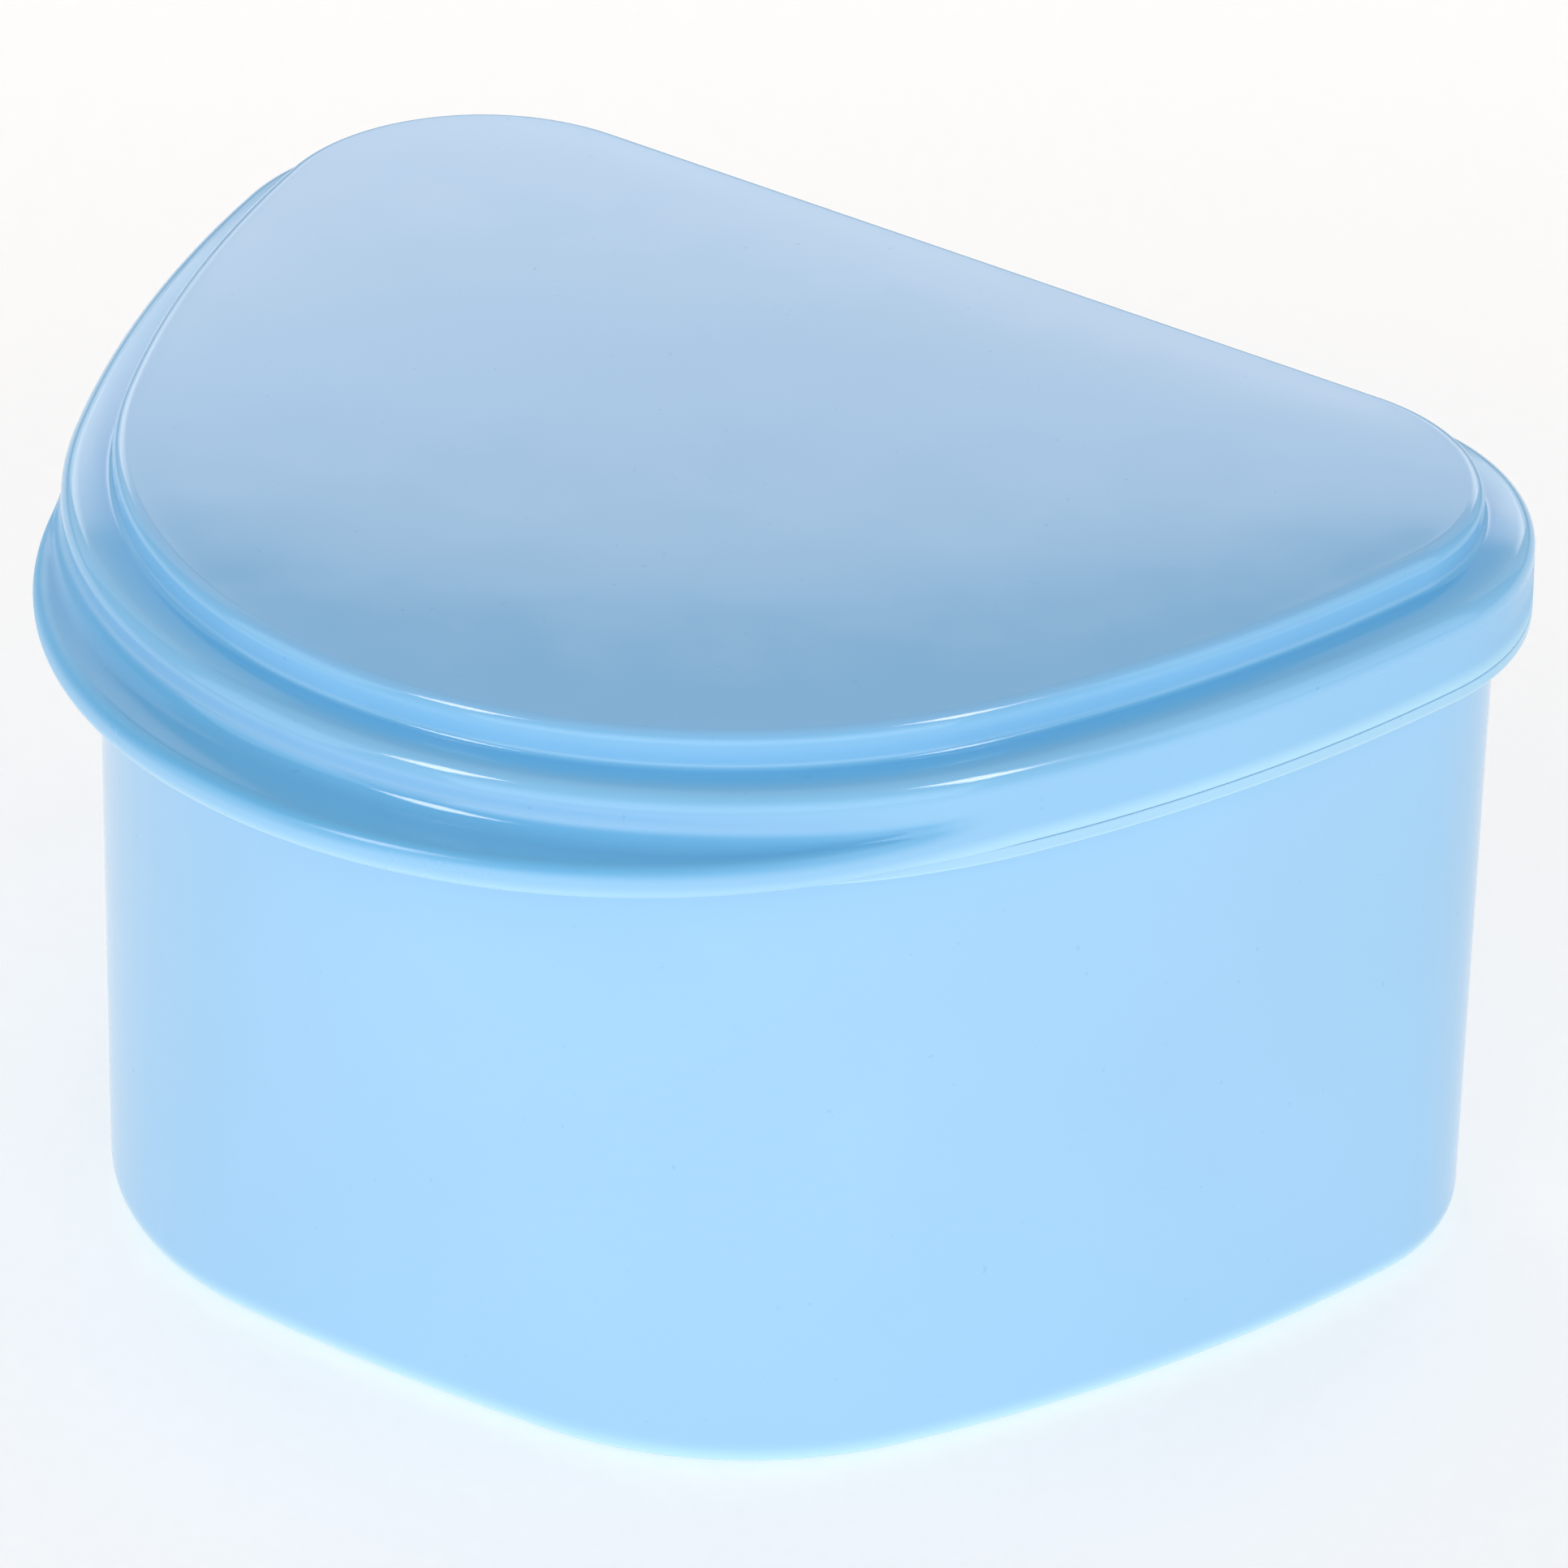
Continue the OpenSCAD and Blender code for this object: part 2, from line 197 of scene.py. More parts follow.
def finished(name, bm, material, body, sharp=34.0, outward=True):
    """An object from a bmesh, welded, facing outward, smooth but for its crisp corners, riding on a CAD body."""
    bmesh.ops.remove_doubles(bm, verts=bm.verts, dist=1e-7)
    bmesh.ops.dissolve_degenerate(bm, dist=1e-8, edges=bm.edges)
    if outward:
        bmesh.ops.recalc_face_normals(bm, faces=bm.faces)
    me = bpy.data.meshes.new(name)
    bm.to_mesh(me)
    bm.free()
    me.polygons.foreach_set("use_smooth", [True] * len(me.polygons))
    me.set_sharp_from_angle(angle=math.radians(sharp))
    ob = bpy.data.objects.new(name, me)
    bpy.context.scene.collection.objects.link(ob)
    me.materials.append(material)
    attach(ob, body)
    return ob


# ---------------------------------------------------------------- hinge barrels
def star(polygons, r, extra=()):
    """Outer radius in each direction of a disc joined with polygons that have the axis as a corner or hold it in sight."""
    corners = []
    for poly in polygons:
        corners += [math.atan2(z, y) % (2 * math.pi) for y, z in poly if math.hypot(y, z) > 1e-6]
    angles = sorted(set([2 * math.pi * i / 72 for i in range(72)] + [c for c in corners]))
    angles = [a for i, a in enumerate(angles) if i == 0 or a - angles[i - 1] > 0.004]
    reach = []
    for w in angles:
        u = np.array([math.cos(w), math.sin(w)])
        best = r
        for poly in polygons:
            for (y0, z0), (y1, z1) in zip(poly, poly[1:] + poly[:1]):
                p, q = np.array([y0, z0]), np.array([y1, z1])
                e = q - p
                den = u[0] * e[1] - u[1] * e[0]
                if abs(den) < 1e-9:
                    for c in (p, q):
                        if abs(u[0] * c[1] - u[1] * c[0]) < 1e-6 and u @ c > 0:
                            best = max(best, float(np.linalg.norm(c)))
                    continue
                s = (p[0] * e[1] - p[1] * e[0]) / den
                t = (p[0] * u[1] - p[1] * u[0]) / den
                if s > 0 and -1e-6 <= t <= 1 + 1e-6:
                    best = max(best, s)
        reach.append(best)
    return np.array(angles), np.array(reach)


def barrel(bm, x0, x1, polygons, bore):
    """One hinge knuckle with its web: an extrusion along X with a bore and rounded ends."""
    w, r = star(polygons, KNUCKLE_R)
    cy, cz = HINGE_Y + ORIGIN_Y, HINGE_Z

    def loop(x, radius):
        return np.column_stack([np.full(len(w), x), cy + radius * np.cos(w), cz + radius * np.sin(w)])

    rings = [loop(x0 + 0.12, np.full(len(w), bore)), loop(x0, np.full(len(w), bore + 0.12))]
    for k in range(4):
        c = math.radians(90 * k / 3)
        rings.append(loop(x0 + 0.3 * (1 - math.sin(c)), r - 0.3 * (1 - math.cos(math.pi / 2 - c))))
    for k in range(4):
        c = math.radians(90 * (3 - k) / 3)
        rings.append(loop(x1 - 0.3 * (1 - math.sin(c)), r - 0.3 * (1 - math.cos(math.pi / 2 - c))))
    rings += [loop(x1, np.full(len(w), bore + 0.12)), loop(x1 - 0.12, np.full(len(w), bore))]
    grid(bm, rings, closed=True)


def turned(poly, degrees):
    c, s = math.cos(math.radians(degrees)), math.sin(math.radians(degrees))
    return [(y * c - z * s, y * s + z * c) for y, z in poly]


# ---------------------------------------------------------------- materials
def new_material(name):
    m = bpy.data.materials.new(name)
    m.use_nodes = True
    nt = m.node_tree
    nt.nodes.clear()
    out = nt.nodes.new("ShaderNodeOutputMaterial")
    b = nt.nodes.new("ShaderNodeBsdfPrincipled")
    nt.links.new(b.outputs["BSDF"], out.inputs["Surface"])
    return m, nt, b


def noise(nt, vector, scale, detail=2.0, rough=0.5):
    n = nt.nodes.new("ShaderNodeTexNoise")
    n.inputs["Scale"].default_value = scale
    n.inputs["Detail"].default_value = detail
    n.inputs["Roughness"].default_value = rough
    nt.links.new(vector, n.inputs["Vector"])
    return n.outputs["Fac"]


def ramp(nt, fac, stops):
    r = nt.nodes.new("ShaderNodeValToRGB")
    e = r.color_ramp.elements
    while len(e) > 1:
        e.remove(e[-1])
    e[0].position, e[0].color = stops[0][0], (*stops[0][1], 1)
    for p, c in stops[1:]:
        x = e.new(p)
        x.color = (*c, 1)
    nt.links.new(fac, r.inputs["Fac"])
    return r.outputs["Color"]


def remap(nt, value, a, b, c, d):
    n = nt.nodes.new("ShaderNodeMapRange")
    n.interpolation_type = "SMOOTHSTEP"
    for name, x in (("From Min", a), ("From Max", b), ("To Min", c), ("To Max", d)):
        n.inputs[name].default_value = x
    nt.links.new(value, n.inputs["Value"])
    return n.outputs["Result"]


def mix(nt, fac, a, b, kind="MIX"):
    n = nt.nodes.new("ShaderNodeMix")
    n.data_type = "RGBA"
    n.blend_type = kind
    for socket, x in ((n.inputs[0], fac), (n.inputs[6], a), (n.inputs[7], b)):
        if isinstance(x, (int, float)):
            socket.default_value = x
        elif isinstance(x, tuple):
            socket.default_value = (*x, 1)
        else:
            nt.links.new(x, socket)
    return n.outputs[2]


def bump(nt, height, strength, distance, normal=None):
    n = nt.nodes.new("ShaderNodeBump")
    n.inputs["Strength"].default_value = strength
    n.inputs["Distance"].default_value = distance
    nt.links.new(height, n.inputs["Height"])
    if normal is not None:
        nt.links.new(normal, n.inputs["Normal"])
    return n.outputs["Normal"]


def height_of(nt, vector):
    n = nt.nodes.new("ShaderNodeSeparateXYZ")
    nt.links.new(vector, n.inputs["Vector"])
    return n.outputs["Z"]


def larger(nt, a, b):
    n = nt.nodes.new("ShaderNodeMath")
    n.operation = "MAXIMUM"
    nt.links.new(a, n.inputs[0])
    nt.links.new(b, n.inputs[1])
    return n.outputs[0]


def times(nt, a, b):
    n = nt.nodes.new("ShaderNodeMath")
    n.operation = "MULTIPLY"
    nt.links.new(a, n.inputs[0])
    nt.links.new(b, n.inputs[1])
    return n.outputs[0]


def plus(nt, a, b):
    n = nt.nodes.new("ShaderNodeMath")
    n.operation = "ADD"
    nt.links.new(a, n.inputs[0])
    nt.links.new(b, n.inputs[1])
    return n.outputs[0]


def glossy_plastic(name, body, painted_underlight, deep, steps=None, roughness=0.11):
    """Moulded translucent plastic: slow colour drift, fine specks, a faint moulding ripple and rub haze.

    Surfaces that turn down are painted paler: painted light standing in for the floor's light from below. With steps,
    the lid's upright wall, its ledges, the tab's root and its top get painted shade, darker copies of the body colour
    picked by height and by how far each surface faces up."""
    m, nt, b = new_material(name)
    coords = nt.nodes.new("ShaderNodeTexCoord")
    pos = coords.outputs["Object"]
    z, nz = height_of(nt, pos), height_of(nt, coords.outputs["Normal"])
    tone = body
    if steps is not None:
        # painted shade: the lid from about 52 mm up, its up-facing ledges, the up-facing tab root and its up-facing top
        # are mixed toward darker copies of the body colour
        band_shade, ledge, plateau_shade = steps
        up = remap(nt, nz, 0.35, 0.95, 0.0, 1.0)
        tone = mix(nt, remap(nt, z, 0.0510, 0.0522, 0.0, 1.0), tone, band_shade)
        tone = mix(nt, times(nt, up, remap(nt, z, 0.05258, 0.05282, 0.0, 1.0)), tone, ledge)
        # painted shade: the up-facing tab root below about 50.8 mm takes the dark ledge colour
        root = times(nt, remap(nt, nz, 0.12, 0.75, 0.0, 1.0), remap(nt, z, 0.0500, 0.0508, 1.0, 0.0))
        tone = mix(nt, root, tone, ledge)
        tone = mix(nt, times(nt, up, remap(nt, z, 0.0540, 0.0552, 0.0, 1.0)), tone, plateau_shade)
        # painted light from below: the lid's down-turned skirt edge and tab nose are mixed toward the paler colour
        painted_underlight_mask = times(nt, remap(nt, nz, -0.1, 0.6, 1.0, 0.0), remap(nt, z, 0.0472, 0.0484, 1.0, 0.0))
        painted_underlight_mask = times(nt, painted_underlight_mask, remap(nt, nz, -0.995, -0.9, 0.0, 1.0))  # not the flat underside
    else:
        # painted light from below: the tub's down-facing surfaces and a faint strip round the ridge under its rim are
        # mixed toward the paler colour
        bead_underlight = times(nt, remap(nt, z, 0.0457, 0.0461, 0.0, 0.3), remap(nt, z, 0.0470, 0.0474, 1.0, 0.0))
        painted_underlight_mask = larger(nt, remap(nt, nz, -0.7, -0.05, 1.0, 0.0), bead_underlight)
    tone = mix(nt, painted_underlight_mask, tone, painted_underlight)
    drift = noise(nt, pos, 28.0, 3.0, 0.55)
    base = mix(nt, 1.0, tone, ramp(nt, drift, [(0.35, (0.97, 0.97, 0.97)), (0.65, (1.0, 1.0, 1.0))]), "MULTIPLY")
    speck = remap(nt, noise(nt, pos, 1500.0, 1.0, 0.4), 0.76, 0.84, 0.0, 0.3)
    base = mix(nt, speck, base, deep)
    nt.links.new(base, b.inputs["Base Color"])
    haze = noise(nt, pos, 160.0, 4.0, 0.6)
    dull = remap(nt, haze, 0.3, 0.7, roughness - 0.02, roughness + 0.03)
    if steps is not None:
        # the tab's nose and tips and the skirt's edge are worn duller than the rest
        dull = plus(nt, dull, remap(nt, z, 0.0489, 0.0497, 0.15, 0.0))
        split = nt.nodes.new("ShaderNodeSeparateXYZ")
        nt.links.new(pos, split.inputs[0])
        side = nt.nodes.new("ShaderNodeMath")
        side.operation = "ABSOLUTE"
        nt.links.new(split.outputs["X"], side.inputs[0])
        tips = times(nt, remap(nt, side.outputs[0], 0.013, 0.027, 0.0, 0.22), remap(nt, z, 0.0504, 0.0512, 1.0, 0.0))
        dull = plus(nt, dull, tips)
    nt.links.new(dull, b.inputs["Roughness"])
    b.inputs["IOR"].default_value = 1.5
    ripple = bump(nt, noise(nt, pos, 55.0, 1.0, 0.4), 0.12, 0.0004)
    fine = bump(nt, noise(nt, pos, 1400.0, 2.0, 0.5), 0.04, 0.00003, ripple)
    nt.links.new(fine, b.inputs["Normal"])
    return m


def satin_plastic(name, colour, roughness=0.38):
    """Milky satin plastic with a fine spark-eroded grain."""
    m, nt, b = new_material(name)
    pos = nt.nodes.new("ShaderNodeTexCoord").outputs["Object"]
    drift = noise(nt, pos, 35.0, 3.0, 0.5)
    base = ramp(nt, drift, [(0.35, tuple(0.96 * c for c in colour)), (0.65, colour)])
    nt.links.new(base, b.inputs["Base Color"])
    grain = noise(nt, pos, 2600.0, 2.0, 0.6)
    nt.links.new(remap(nt, grain, 0.3, 0.7, roughness - 0.06, roughness + 0.08), b.inputs["Roughness"])
    b.inputs["IOR"].default_value = 1.5
    b.inputs["Subsurface Weight"].default_value = 0.3
    b.inputs["Subsurface Radius"].default_value = (0.8, 0.9, 1.0)
    b.inputs["Subsurface Scale"].default_value = 0.0015
    nt.links.new(bump(nt, grain, 0.12, 0.00005), b.inputs["Normal"])
    return m


def soft_rubber(name, colour):
    m, nt, b = new_material(name)
    pos = nt.nodes.new("ShaderNodeTexCoord").outputs["Object"]
    dust = noise(nt, pos, 420.0, 4.0, 0.6)
    nt.links.new(ramp(nt, dust, [(0.3, tuple(0.94 * c for c in colour)), (0.7, colour)]), b.inputs["Base Color"])
    nt.links.new(remap(nt, dust, 0.3, 0.7, 0.42, 0.58), b.inputs["Roughness"])
    b.inputs["Subsurface Weight"].default_value = 0.4
    b.inputs["Subsurface Radius"].default_value = (1.0, 1.0, 1.0)
    b.inputs["Subsurface Scale"].default_value = 0.001
    nt.links.new(bump(nt, dust, 0.15, 0.00004), b.inputs["Normal"])
    return m


def brushed_steel(name):
    m, nt, b = new_material(name)
    pos = nt.nodes.new("ShaderNodeTexCoord").outputs["Object"]
    stretch = nt.nodes.new("ShaderNodeMapping")
    stretch.inputs["Scale"].default_value = (6.0, 1.0, 1.0)
    nt.links.new(pos, stretch.inputs["Vector"])
    lines = noise(nt, stretch.outputs["Vector"], 900.0, 3.0, 0.6)
    nt.links.new(ramp(nt, lines, [(0.3, (0.50, 0.51, 0.52)), (0.7, (0.66, 0.67, 0.68))]), b.inputs["Base Color"])
    b.inputs["Metallic"].default_value = 1.0
    nt.links.new(remap(nt, lines, 0.3, 0.7, 0.22, 0.36), b.inputs["Roughness"])
    nt.links.new(bump(nt, lines, 0.1, 0.00002), b.inputs["Normal"])
    return m


# colours: body, paler painted light for surfaces that face down, speck colour; the lid's steps are painted shade for
# its upper wall, ledges and top
TUB_BLUE = glossy_plastic("tub_plastic", (0.375, 0.665, 0.95), (0.54, 0.87, 1.0), (0.22, 0.48, 0.76))
LID_BLUE = glossy_plastic(
    "lid_plastic",
    (0.325, 0.635, 0.94),
    (0.47, 0.79, 1.0),
    (0.14, 0.38, 0.66),
    steps=((0.26, 0.60, 0.93), (0.165, 0.53, 0.89), (0.28, 0.59, 0.925)),
)
MILKY = satin_plastic("basket_plastic", (0.83, 0.89, 0.93))
SEAL = soft_rubber("seal_rubber", (0.72, 0.80, 0.86))
STEEL = brushed_steel("rod_steel")

# ---------------------------------------------------------------- tub
NECK_Z = BEAD_Z - 0.55


def tub_d(z):
    return -FOOT_INSET + (FOOT_INSET - NECK_INSET) * min(1, z / BEAD_Z)


def tub_t(z):
    return max(0.0, min(1.0, z / BEAD_Z))


tub_path = rounded(
    [
        (-9.9, 0.35, 0),
        (-9.4, 0.35, 0.2),
        (-9.05, 0.0, 0.2),
        (tub_d(0), 0.0, 2.75),
        (tub_d(BEAD_Z), BEAD_Z, 0.45),
        (0.0, BEAD_Z, 0.55),
        (0.0, PART_Z, 0.08),
        (-2.1, PART_Z, 0.12),
        (-2.15, 50.0, 0.6),
        (-4.3, 50.0, 0.6),
        (-4.4, BEAD_Z, 0),
        (tub_d(WALL) - WALL, WALL, 2.7),
        (-12.0, WALL, 0),
    ],
    k=10,
)


def with_heights(path, step):
    """Adds rows along the long walls, so that the loft between foot and rim stays smooth."""
    out = [path[0]]
    for p in path[1:]:
        q = out[-1]
        n = max(1, int(np.linalg.norm(p - q) / step)) if abs(p[1] - q[1]) > step else 1
        out += [q + (p - q) * i / n for i in range(1, n + 1)]
    return out


tub_path = with_heights(tub_path, 3.0)
bm = bmesh.new()
tub_rings = [ring(z, d, tub_t(z)) for d, z in tub_path]
foot_centre = np.array([0.0, -36.0 + ORIGIN_Y, 0.0])
inner = [1.0, 0.93, 0.8, 0.6, 0.4, 0.2, 0.08]
first = scaled_rings(tub_rings[0], [0.35] * 7, inner, foot_centre)[::-1]
last = scaled_rings(tub_rings[-1], [WALL] * 7, inner, foot_centre)
grid(
    bm,
    first[:-1] + tub_rings + last[1:],
    tip_first=(foot_centre[0], foot_centre[1], 0.35),
    tip_last=(foot_centre[0], foot_centre[1], WALL),
)
# small mark of the mould's gate, inside the recess of the foot
gate = []
for r, z in ((2.2, 0.36), (2.2, 0.22), (2.1, 0.12), (1.9, 0.1), (0.9, 0.1), (0.7, 0.16), (0.4, 0.2)):
    gate.append([(r * math.cos(w), foot_centre[1] + r * math.sin(w), z) for w in [2 * math.pi * i / 40 for i in range(40)]])
grid(bm, [np.array(g) for g in gate], tip_first=(0, foot_centre[1], 0.36), tip_last=(0, foot_centre[1], 0.2))
tub_web = [
    (-NECK_INSET - 0.8 - HINGE_Y, 41.5 - HINGE_Z),
    (-NECK_INSET - 0.8 - HINGE_Y, PART_Z - 0.05 - HINGE_Z),
    (1.2 - HINGE_Y, PART_Z - 0.05 - HINGE_Z),
    (0.0, 0.0),
    (1.6 * math.cos(math.radians(50)), -1.6 * math.sin(math.radians(50))),
    (-0.6, -KNUCKLE_R - 0.9),
]
for x0, x1 in ((-24, -16.2), (-7.8, 7.8), (16.2, 24)):
    barrel(bm, x0, x1, [tub_web], ROD_R)
tub = finished("tub_shell", bm, TUB_BLUE, "tub")
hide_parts("tub")

# ---------------------------------------------------------------- lid
EDGE_TOP = TOP_Z - CROWN
ROOF = EDGE_TOP - 1.9


def tab_section(e):
    """(d, z) of the skirt's bottom edge, the tab's rounded nose and its root for one column, always the same count."""
    w = 0.14 + 0.96 * smooth(e / 1.6)
    h = 0.16 + 0.94 * smooth(e / 1.6)
    zc = (SKIRT_Z + TAB_Z) / 2 + 0.02
    rf = min(1.7, 0.45 * e)
    hf = 0.93 + 0.4 * smooth(e / 4)
    low = max(e - w, -w + 0.0) if e > 0 else -w
    pts = [(-1.3 + 0.15, SKIRT_Z), (min(-0.45, low - 0.02), SKIRT_Z), (low - 0.02, SKIRT_Z)]
    for j in range(9):
        c = math.radians(90 * j / 8)
        pts.append((low + (e - low) * math.sin(c), SKIRT_Z + h * (1 - math.cos(c))))
    pts.append((e, 0.5 * (SKIRT_Z + h + zc) if h < 1.0 else SKIRT_Z + h + 0.005))
    ht = TAB_Z - zc
    high = max(e - 1.08, rf)
    shelf = []
    for j in range(9):
        c = math.radians(90 * j / 8)
        shelf.append((e - (e - high) * (1 - math.cos(c)), zc + ht * math.sin(c)))
    for s in (0.12, 0.5, 0.88):
        shelf.append((high + (rf - high) * s, TAB_Z + 0.002 * s))
    for j in range(7):
        c = math.radians(90 * j / 6)
        shelf.append((rf * (1 - math.sin(c)), TAB_Z + 0.003 + hf * (1 - math.cos(c))))
    # towards its tips the tab is only a soft swelling of the skirt
    full = smooth(e / 2.0)
    for j, (d, z) in enumerate(shelf):
        t = j / (len(shelf) - 1)
        swell = (0.5 * e * (1 + math.cos(math.pi * t)), zc + (50.5 - zc) * t)
        pts.append((full * d + (1 - full) * swell[0], full * z + (1 - full) * swell[1]))
    pts.append((0.0, 50.92))
    return pts


under = rounded(
    [
        (-8.2, ROOF, 0),
        (-5.95, ROOF, 0.9),
        (-5.95, 49.0, 0.3),
        (-4.75, 49.0, 0.3),
        (-4.75, 51.1, 0.15),
        (-1.6, 51.1, 0.15),
        (-1.6, SKIRT_Z, 0.3),
        (-1.15, SKIRT_Z, 0),
    ],
    k=6,
)[:-1]
skirt = np.array([tab_section(e) for e in REACH])  # column, point, (d, z)
over = [(-1.5 + 1.5 * math.cos(math.radians(c)), SHOULDER_Z + 1.5 * math.sin(math.radians(c))) for c in [-4, *range(0, 81, 8)]]
over[0] = (0.0, SHOULDER_Z - 0.12)
ledge = rounded(
    [
        over[-1] + (0,),
        (-PLATEAU_INSET, 52.94, 0.5),
        (-PLATEAU_INSET, EDGE_TOP, 1.0),
        (-PLATEAU_INSET - 3.0, EDGE_TOP + 0.02, 0),
    ],
    k=12,
)[1:-1]
lid_rings = [ring(z, d) for d, z in under]
lid_rings += [ring(skirt[:, k, 1], skirt[:, k, 0]) for k in range(skirt.shape[1])]
lid_rings += [ring(z, d) for d, z in list(over) + list(ledge)]
lid_centre = np.array([0.0, -36.0 + ORIGIN_Y, 0.0])
shares = [0.985, 0.96, 0.92, 0.86, 0.79, 0.71, 0.62, 0.52, 0.42, 0.32, 0.22, 0.12, 0.05]
top = scaled_rings(lid_rings[-1], [EDGE_TOP + CROWN * (1 - 0.4 * s**3 - 0.6 * s**9) for s in shares], shares, lid_centre)
roof = scaled_rings(lid_rings[0], [ROOF] * 7, inner, lid_centre)[::-1]
bm = bmesh.new()
grid(
    bm,
    roof[:-1] + lid_rings + top,
    tip_first=(lid_centre[0], lid_centre[1], ROOF),
    tip_last=(lid_centre[0], lid_centre[1], TOP_Z),
)
lid_web = [
    (-1.0 - HINGE_Y, 0.6),
    (0.0, 0.0),
    (1.6 * math.cos(math.radians(60)), 1.6 * math.sin(math.radians(60))),
    (-1.0 - HINGE_Y, SHOULDER_Z + 0.1 - HINGE_Z),
]
heel = turned([(-HINGE_Y + 0.15, -2.0), (-HINGE_Y + 0.15, -0.9), (0.0, 0.0), (0.3, -1.2)], OPEN)
for x0, x1 in ((-15.9, -8.1), (8.1, 15.9)):
    barrel(bm, x0, x1, [lid_web, heel], ROD_R + 0.06)
lid = finished("lid_shell", bm, LID_BLUE, "lid")
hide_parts("lid")

# ---------------------------------------------------------------- rim seal
seal_path = rounded(
    [
        (-1.7, 51.0, 0),
        (-1.7, 51.1, 0.1),
        (-4.65, 51.1, 0.1),
        (-4.65, 50.2, 0.35),
        (-3.9, 50.2, 0.2),
        (-3.6, 50.42, 0.2),
        (-2.75, 50.42, 0.2),
        (-2.45, 50.2, 0.2),
        (-1.7, 50.2, 0.35),
        (-1.7, 51.0, 0),
    ],
    k=5,
    s=0.05,
)[:-1]
bm = bmesh.new()
grid(bm, [ring(z, d) for d, z in seal_path], closed=True)
seal = finished("seal_ring", bm, SEAL, "lid", sharp=50)
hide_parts("rim_seal")

# ---------------------------------------------------------------- hinge rod
rod_path = [(-24.3, 0.55), (-24.25, 0.78), (-24.12, 0.92), (-23.98, 0.985), (-23.8, 1.0)]
rod_path += [(x, 1.0) for x in (-12, 0, 12)] + [(-x, r) for x, r in rod_path[::-1]]
bm = bmesh.new()
rod_rings = []
for x, r in rod_path:
    rod_rings.append(
        np.array([(x, HINGE_Y + ORIGIN_Y + r * ROD_R * math.cos(w), HINGE_Z + r * ROD_R * math.sin(w)) for w in [2 * math.pi * i / 48 for i in range(48)]])
    )
grid(bm, rod_rings, tip_first=(-24.3, HINGE_Y + ORIGIN_Y, HINGE_Z), tip_last=(24.3, HINGE_Y + ORIGIN_Y, HINGE_Z))
rod = finished("steel_rod", bm, STEEL, "tub", sharp=60)
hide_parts("hinge_rod")

# ---------------------------------------------------------------- basket and bail
for node in ("strainer_basket", "basket_bail"):
    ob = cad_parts[node]
    ob.data.materials.clear()
    ob.data.materials.append(MILKY)
    weld = ob.modifiers.new("weld", "WELD")
    weld.merge_threshold = 2e-6
    bevel = ob.modifiers.new("edges", "BEVEL")
    bevel.width = 0.00022
    bevel.segments = 2
    bevel.limit_method = "ANGLE"
    bevel.angle_limit = math.radians(38)
    bevel.use_clamp_overlap = True
    bevel.harden_normals = True

# ---------------------------------------------------------------- floor
m, nt, b = new_material("floor_paper")
pos = nt.nodes.new("ShaderNodeTexCoord").outputs["Object"]
tooth = noise(nt, pos, 700.0, 3.0, 0.6)
nt.links.new(ramp(nt, tooth, [(0.3, (0.58, 0.585, 0.59)), (0.7, (0.61, 0.612, 0.615))]), b.inputs["Base Color"])
b.inputs["Roughness"].default_value = 0.9
b.inputs["Specular IOR Level"].default_value = 0.2
b.inputs["Emission Color"].default_value = (1.0, 1.0, 1.0, 1)  # a table lit from below
b.inputs["Emission Strength"].default_value = 0.46
nt.links.new(bump(nt, tooth, 0.03, 0.00005), b.inputs["Normal"])
bm = bmesh.new()
side, steps = 3.0, 12
grid_rows = [
    [bm.verts.new((-side + 2 * side * i / steps, -side + 2 * side * j / steps, 0.0)) for i in range(steps + 1)]
    for j in range(steps + 1)
]
for j in range(steps):
    for i in range(steps):
        bm.faces.new((grid_rows[j][i], grid_rows[j][i + 1], grid_rows[j + 1][i + 1], grid_rows[j + 1][i]))
me = bpy.data.meshes.new("floor")
bm.to_mesh(me)
bm.free()
me.materials.append(m)
floor = bpy.data.objects.new("floor", me)
floor.location.z = -0.00002
bpy.context.scene.collection.objects.link(floor)

# ---------------------------------------------------------------- camera
scene = bpy.context.scene
AZ, EL, ROLL, DIST, FOCAL = 0.614, 0.519, 0.016, 982.4, 17962.5
TARGET = np.array([-0.623, 10.69, 25.0])

back = np.array([math.sin(AZ) * math.cos(EL), -math.cos(AZ) * math.cos(EL), math.sin(EL)])
right = np.array([math.cos(AZ), math.sin(AZ), 0.0])
up = np.cross(back, right)
c, s = math.cos(ROLL), math.sin(ROLL)
right, up = c * right + s * up, -s * right + c * up
aim = TARGET + 0.454 * right + 0.06 * up
place = aim + back * DIST
cam_data = bpy.data.cameras.new("camera")
cam_data.sensor_width = 36.0
cam_data.lens = 36.0 * FOCAL / 1932
cam_data.clip_start, cam_data.clip_end = 0.05, 20.0
cam = bpy.data.objects.new("camera", cam_data)
cam.matrix_world = Matrix(
    (
        (right[0], up[0], back[0], place[0] * MM),
        (right[1], up[1], back[1], place[1] * MM),
        (right[2], up[2], back[2], place[2] * MM),
        (0, 0, 0, 1),
    )
)
scene.collection.objects.link(cam)
scene.camera = cam

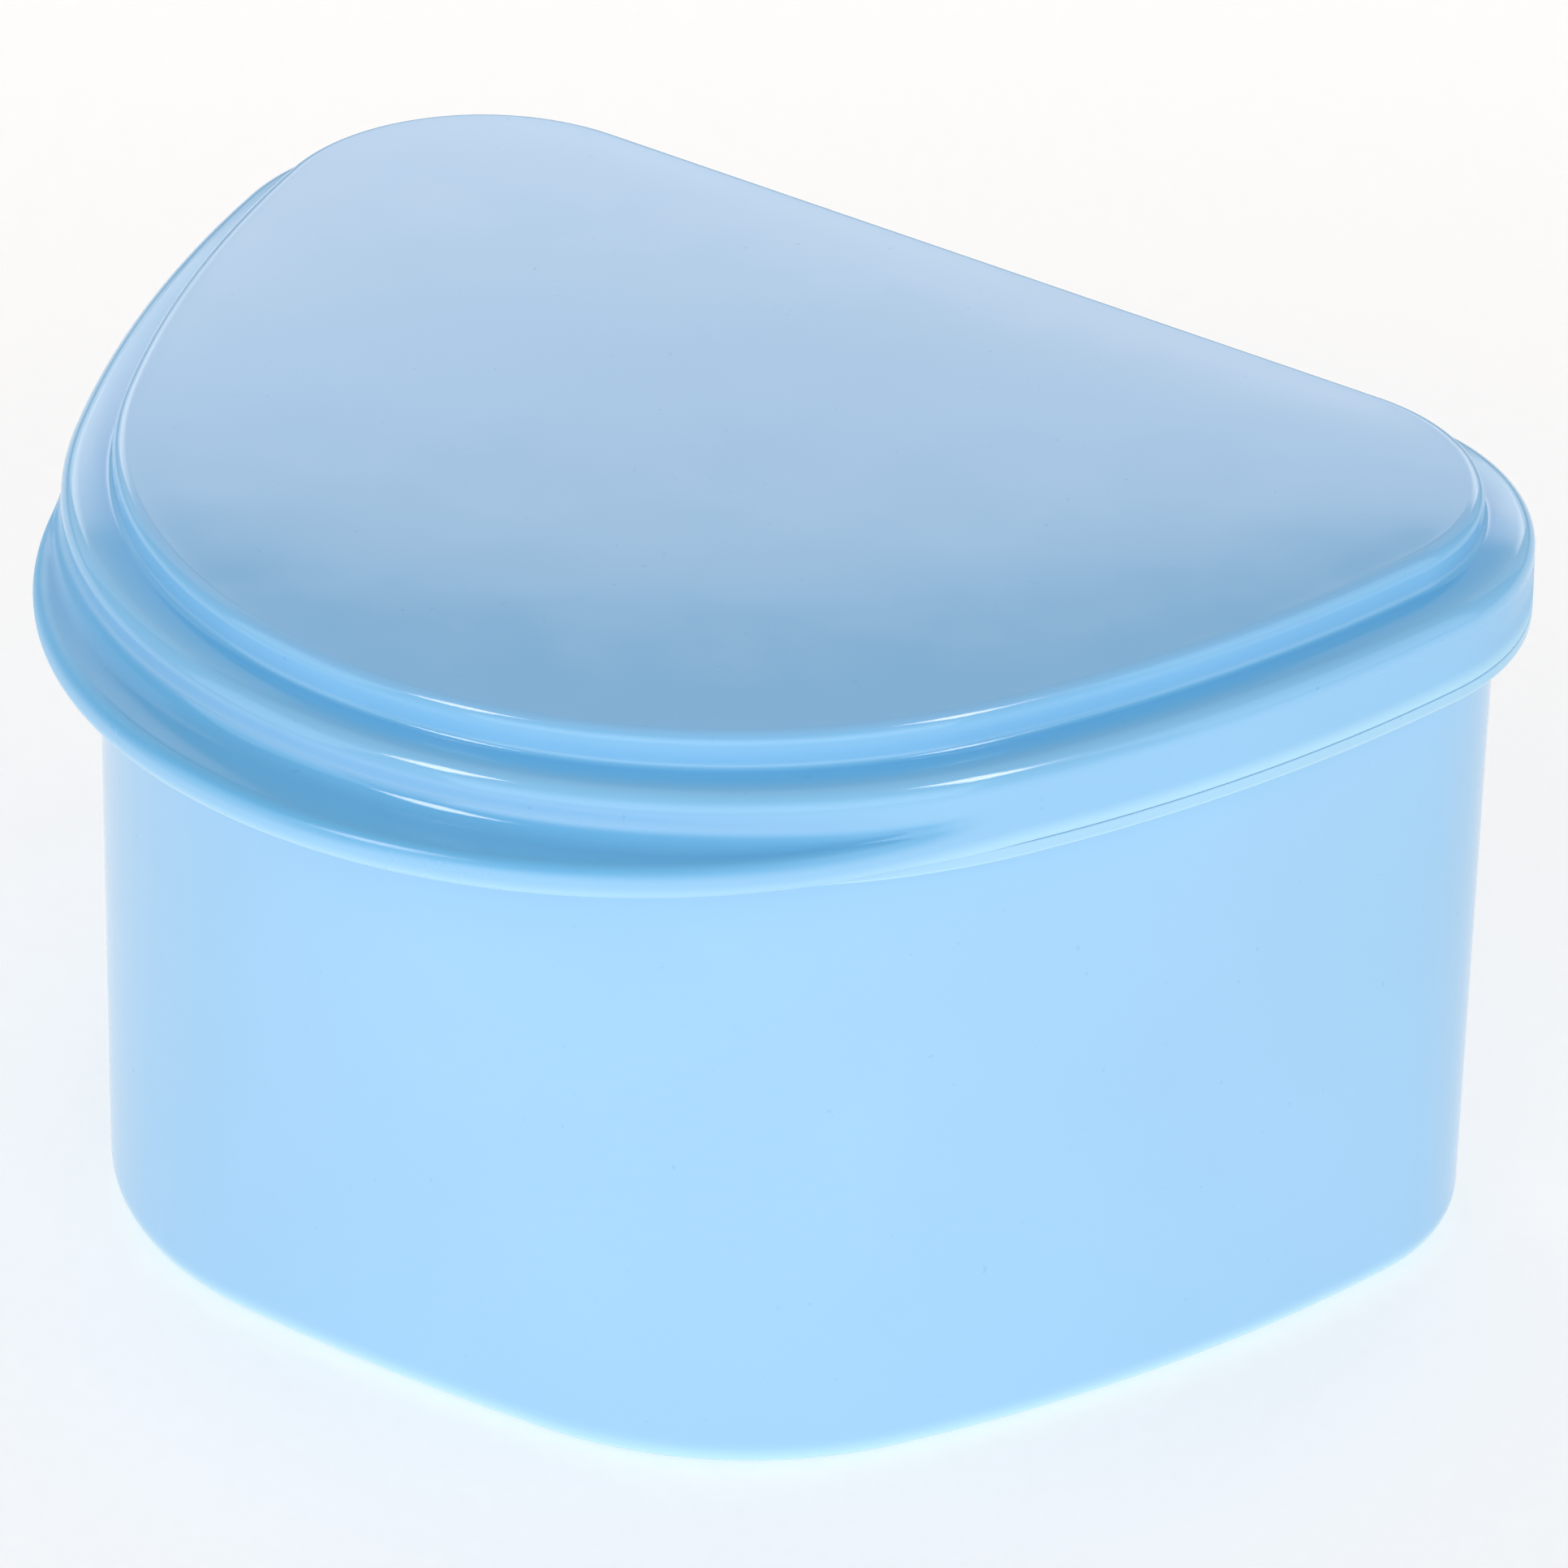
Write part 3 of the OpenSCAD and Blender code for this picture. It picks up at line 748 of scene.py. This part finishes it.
# ---------------------------------------------------------------- light
scene.view_settings.view_transform = "Standard"
world = bpy.data.worlds.new("studio")
world.use_nodes = True
world.node_tree.nodes["Background"].inputs["Color"].default_value = (1.0, 1.0, 1.0, 1)
world.node_tree.nodes["Background"].inputs["Strength"].default_value = 0.385
scene.world = world


def soft_box(name, azimuth, low, high, distance, width, radiance, diffuse=True):
    """A soft box facing the case, filling elevations low to high. Azimuth runs from the front (-Y) towards +X. It isn't seen itself."""
    a, e = math.radians(azimuth), math.radians((low + high) / 2)
    height = 2 * distance * math.tan(math.radians((high - low) / 2))
    data = bpy.data.lights.new(name, "AREA")
    data.shape = "RECTANGLE"
    data.size, data.size_y = width * MM, height * MM
    peak = max(radiance)
    data.energy = math.pi * data.size * data.size_y * peak
    data.color = [c / peak for c in radiance]
    ob = bpy.data.objects.new(name, data)
    at = Vector((distance * math.sin(a) * math.cos(e), -distance * math.cos(a) * math.cos(e), 40 + distance * math.sin(e))) * MM
    ob.matrix_world = Matrix.Translation(at) @ (Vector((0, 0, 0.04)) - at).to_track_quat("-Z", "Y").to_matrix().to_4x4()
    ob.visible_camera = False
    ob.visible_diffuse = diffuse
    scene.collection.objects.link(ob)


soft_box("front_wide", 35, 2, 32, 1000, 1800, (1.64, 1.64, 1.64))
soft_box("front_high", 35, 32, 46, 1000, 1800, (0.80, 0.80, 0.80))
soft_box("left_key", -24, 44, 60, 800, 150, (13.0, 10.5, 10.5), diffuse=False)
soft_box("right_key", 93, 44, 60, 800, 150, (13.0, 10.5, 10.5), diffuse=False)
soft_box("left_mid", -45, 5, 42, 900, 500, (1.10, 1.10, 1.10))
soft_box("right_mid", 115, 5, 42, 900, 500, (0.95, 0.95, 0.95))
soft_box("left_far", -110, 5, 45, 900, 600, (0.6, 0.6, 0.6))
soft_box("right_far", 180, 5, 45, 900, 600, (0.5, 0.5, 0.5))
soft_box("back_b", 215, 10, 18, 450, 600, (1.0, 0.9, 0.84))
soft_box("back_c", 215, 18, 24, 450, 600, (2.7, 2.38, 2.15))
soft_box("back_d", 215, 24, 28, 450, 600, (2.65, 2.12, 1.80))
soft_box("back_e", 215, 28, 32, 450, 600, (1.85, 1.54, 1.43))
